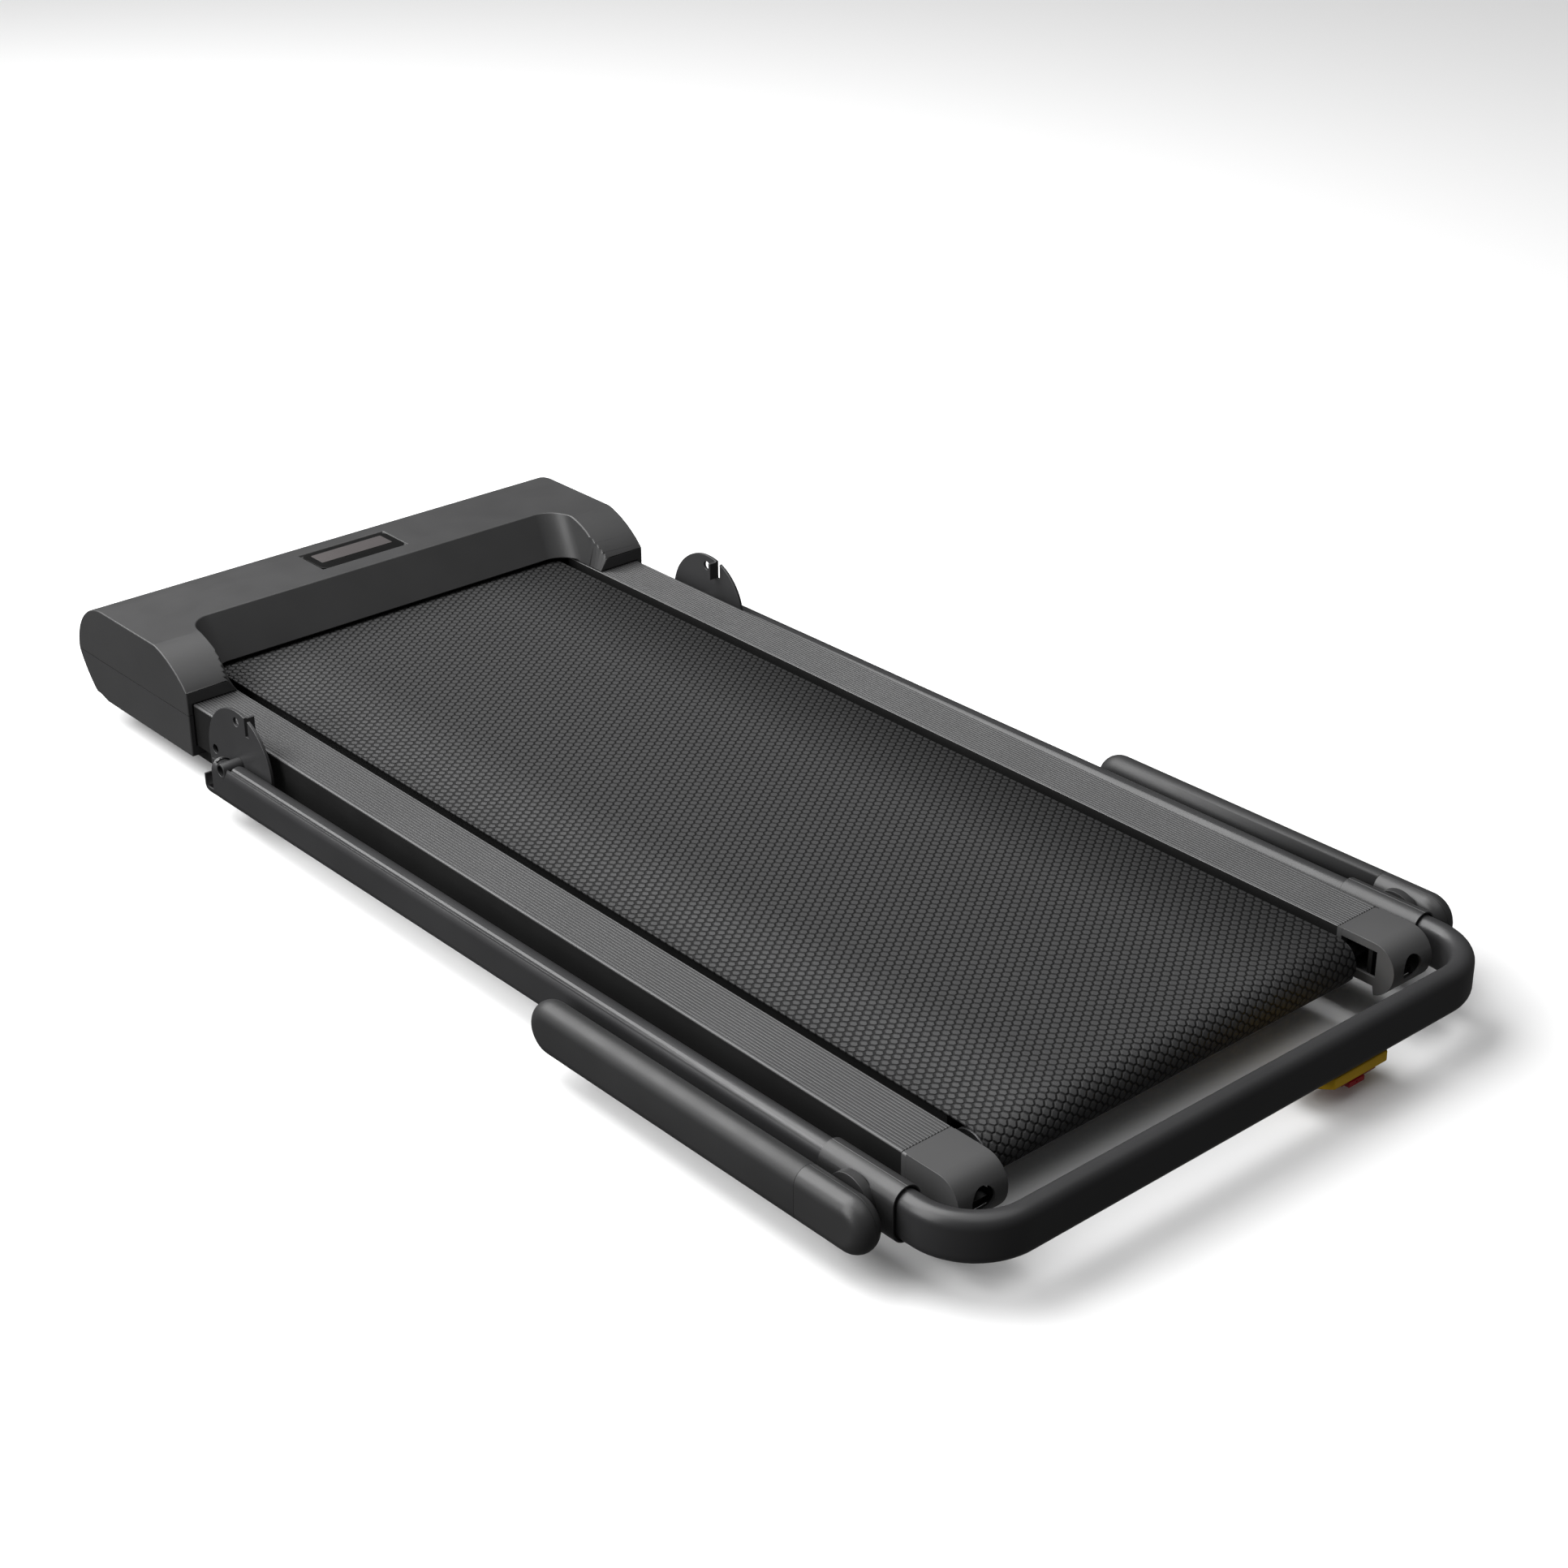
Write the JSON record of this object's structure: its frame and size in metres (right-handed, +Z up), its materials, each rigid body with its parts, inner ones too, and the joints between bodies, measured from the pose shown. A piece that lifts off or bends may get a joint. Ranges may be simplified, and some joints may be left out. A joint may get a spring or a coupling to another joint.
{
  "type": "folding walking treadmill",
  "caption": "Low electric walking treadmill with a ribbed-rail deck, a rounded motor hood, a fold-flat U handrail, fold-out arm rests and a red safety key.",
  "frame": {"origin": "on the floor, at the middle of the overall length and width", "axes": "+X across the belt to the side that carries the safety key, +Y along the belt to the motor hood, +Z up"},
  "size_m": [0.655, 1.2582, 0.119],
  "materials": {
    "rail_aluminium": "satin",
    "frame_steel": "satin",
    "tube_paint": "satin",
    "hood_plastic": "fine grain",
    "cap_plastic": "fine grain",
    "walking_belt": "embossed scales",
    "deck_board": "plain",
    "bright_steel": "satin",
    "soft_rubber": "matte",
    "grip_foam": "fine skin",
    "display_gloss": "gloss",
    "circuit_board": "satin",
    "motor_cast": "cast",
    "black_plastic": "plain",
    "wheel_tyre": "matte",
    "key_yellow": "fine grain",
    "key_red": "satin"
  },
  "bodies": {
    "base": {"side_rail_left": "rail_aluminium", "side_rail_right": "rail_aluminium", "frame_tube_left": "frame_steel", "frame_tube_right": "frame_steel", "frame_cross_bars": "frame_steel", "chassis_plates": "frame_steel", "deck_beams": "frame_steel", "deck_cushions": "soft_rubber", "running_deck": "deck_board", "running_belt": "walking_belt", "front_axle": "bright_steel", "rear_axle": "bright_steel", "rail_end_plates": "cap_plastic", "rear_cap_left": "cap_plastic", "rear_cap_right": "cap_plastic", "tension_brackets": "frame_steel", "rubber_feet": "soft_rubber", "hood_upper": "hood_plastic", "hood_lower": "hood_plastic", "display_lens": "display_gloss", "display_board": "circuit_board", "motor_case": "motor_cast", "motor_bracket": "frame_steel", "drive_belt": "soft_rubber", "motor_controller": "circuit_board", "power_inlet": "black_plastic", "switch_frame": "black_plastic", "pivot_bosses": "frame_steel", "pivot_bolts": "bright_steel", "lock_bosses": "frame_steel", "wheel_brackets": "frame_steel", "wheel_axles": "bright_steel", "roller_bearings": "bright_steel"},
    "front_roller_body": {"front_roller": "bright_steel", "roller_pulley": "motor_cast"},
    "rear_roller_body": {"rear_roller": "bright_steel"},
    "motor_rotor": {"motor_shaft": "bright_steel", "motor_pulley": "bright_steel"},
    "wheel_left_body": {"wheel_left": "wheel_tyre"},
    "wheel_right_body": {"wheel_right": "wheel_tyre"},
    "tension_left_body": {"tension_bolt_left": "bright_steel"},
    "tension_right_body": {"tension_bolt_right": "bright_steel"},
    "rocker_body": {"power_rocker": "key_red"},
    "handrail": {"handrail_tube_left": "tube_paint", "handrail_tube_right": "tube_paint", "handrail_crossbar": "tube_paint", "hinge_plate_left": "tube_paint", "hinge_plate_right": "tube_paint", "pivot_sleeves": "tube_paint", "arm_clamps_inner": "cap_plastic", "arm_clamps_outer": "cap_plastic", "arm_pins": "bright_steel", "key_holder": "key_yellow"},
    "key_body": {"safety_key": "key_red"},
    "arm_left": {"arm_grip_left": "grip_foam", "arm_hub_left": "cap_plastic"},
    "arm_right": {"arm_grip_right": "grip_foam", "arm_hub_right": "cap_plastic"}
  },
  "joints": [
    {"name": "handrail_fold", "type": "hinge", "parent": "base", "child": "handrail", "pos_m": [0, 0.324, 0.056], "axis": [-1, 0, 0], "range_deg": [0, 89.43]},
    {"name": "arm_left_fold", "type": "hinge", "parent": "handrail", "child": "arm_left", "pos_m": [-0.3015, -0.51765, 0.04987], "axis": [-1, 0, 0], "range_deg": [0, 90]},
    {"name": "arm_right_fold", "type": "hinge", "parent": "handrail", "child": "arm_right", "pos_m": [0.3015, -0.51765, 0.04987], "axis": [-1, 0, 0], "range_deg": [0, 90]},
    {"name": "safety_key_pull", "type": "slide", "parent": "handrail", "child": "key_body", "axis": [0, -0.0099, -1], "range_m": [0, 0.012]},
    {"name": "front_roller_spin", "type": "hinge", "parent": "base", "child": "front_roller_body", "pos_m": [0, 0.514, 0.0528], "axis": [1, 0, 0], "continuous": true},
    {"name": "rear_roller_spin", "type": "hinge", "parent": "base", "child": "rear_roller_body", "pos_m": [0, -0.5345, 0.0528], "axis": [1, 0, 0], "continuous": true},
    {"name": "motor_spin", "type": "hinge", "parent": "base", "child": "motor_rotor", "pos_m": [-0.12, 0.576, 0.067], "axis": [1, 0, 0], "continuous": true},
    {"name": "wheel_left_spin", "type": "hinge", "parent": "base", "child": "wheel_left_body", "pos_m": [-0.157, 0.564, 0.015], "axis": [1, 0, 0], "continuous": true},
    {"name": "wheel_right_spin", "type": "hinge", "parent": "base", "child": "wheel_right_body", "pos_m": [0.157, 0.564, 0.015], "axis": [1, 0, 0], "continuous": true},
    {"name": "tension_left_turn", "type": "hinge", "parent": "base", "child": "tension_left_body", "pos_m": [-0.23575, -0.555, 0.0528], "axis": [0, 1, 0], "continuous": true},
    {"name": "tension_right_turn", "type": "hinge", "parent": "base", "child": "tension_right_body", "pos_m": [0.23575, -0.555, 0.0528], "axis": [0, 1, 0], "continuous": true},
    {"name": "power_rock", "type": "hinge", "parent": "base", "child": "rocker_body", "pos_m": [0.187, 0.606, 0.0495], "axis": [0, 0, -1], "range_deg": [0, 16]}
  ],
  "couplings": [
    {"joint": "rear_roller_spin", "follows": "front_roller_spin", "ratio": 1},
    {"joint": "motor_spin", "follows": "front_roller_spin", "ratio": 2.667}
  ]
}
